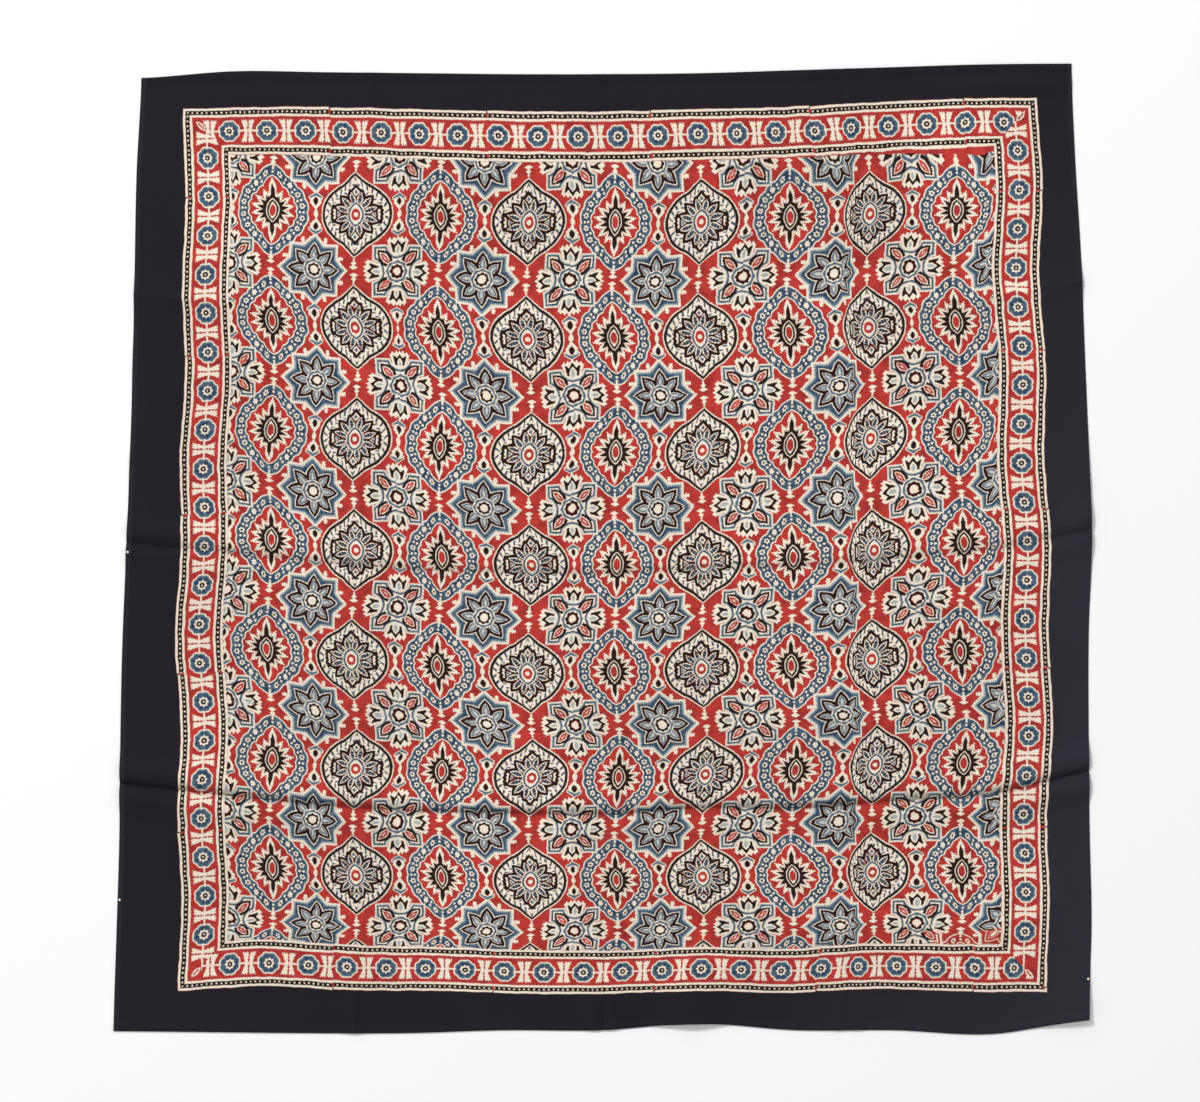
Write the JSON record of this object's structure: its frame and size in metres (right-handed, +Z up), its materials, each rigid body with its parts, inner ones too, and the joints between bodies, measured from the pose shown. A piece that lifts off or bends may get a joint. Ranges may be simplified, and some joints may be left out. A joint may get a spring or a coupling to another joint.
{
  "type": "ajrakh cloth",
  "caption": "Square block-printed ajrakh cotton cloth with a plain dark margin, spread flat, with soft storage creases and slightly wavy edges.",
  "frame": {"origin": "middle of the cloth's box, on the surface that it lies on", "axes": "+Z up from that surface, +Y towards the top edge of the print, +X to its right"},
  "size_m": [1.017, 1.0092, 0.0086],
  "materials": {
    "printed_cotton": "block-printed plain-weave cotton: madder red field, indigo blue and black on undyed cream, plain near-black margin"
  },
  "bodies": {
    "root": {"cloth": "printed_cotton"}
  },
  "joints": []
}
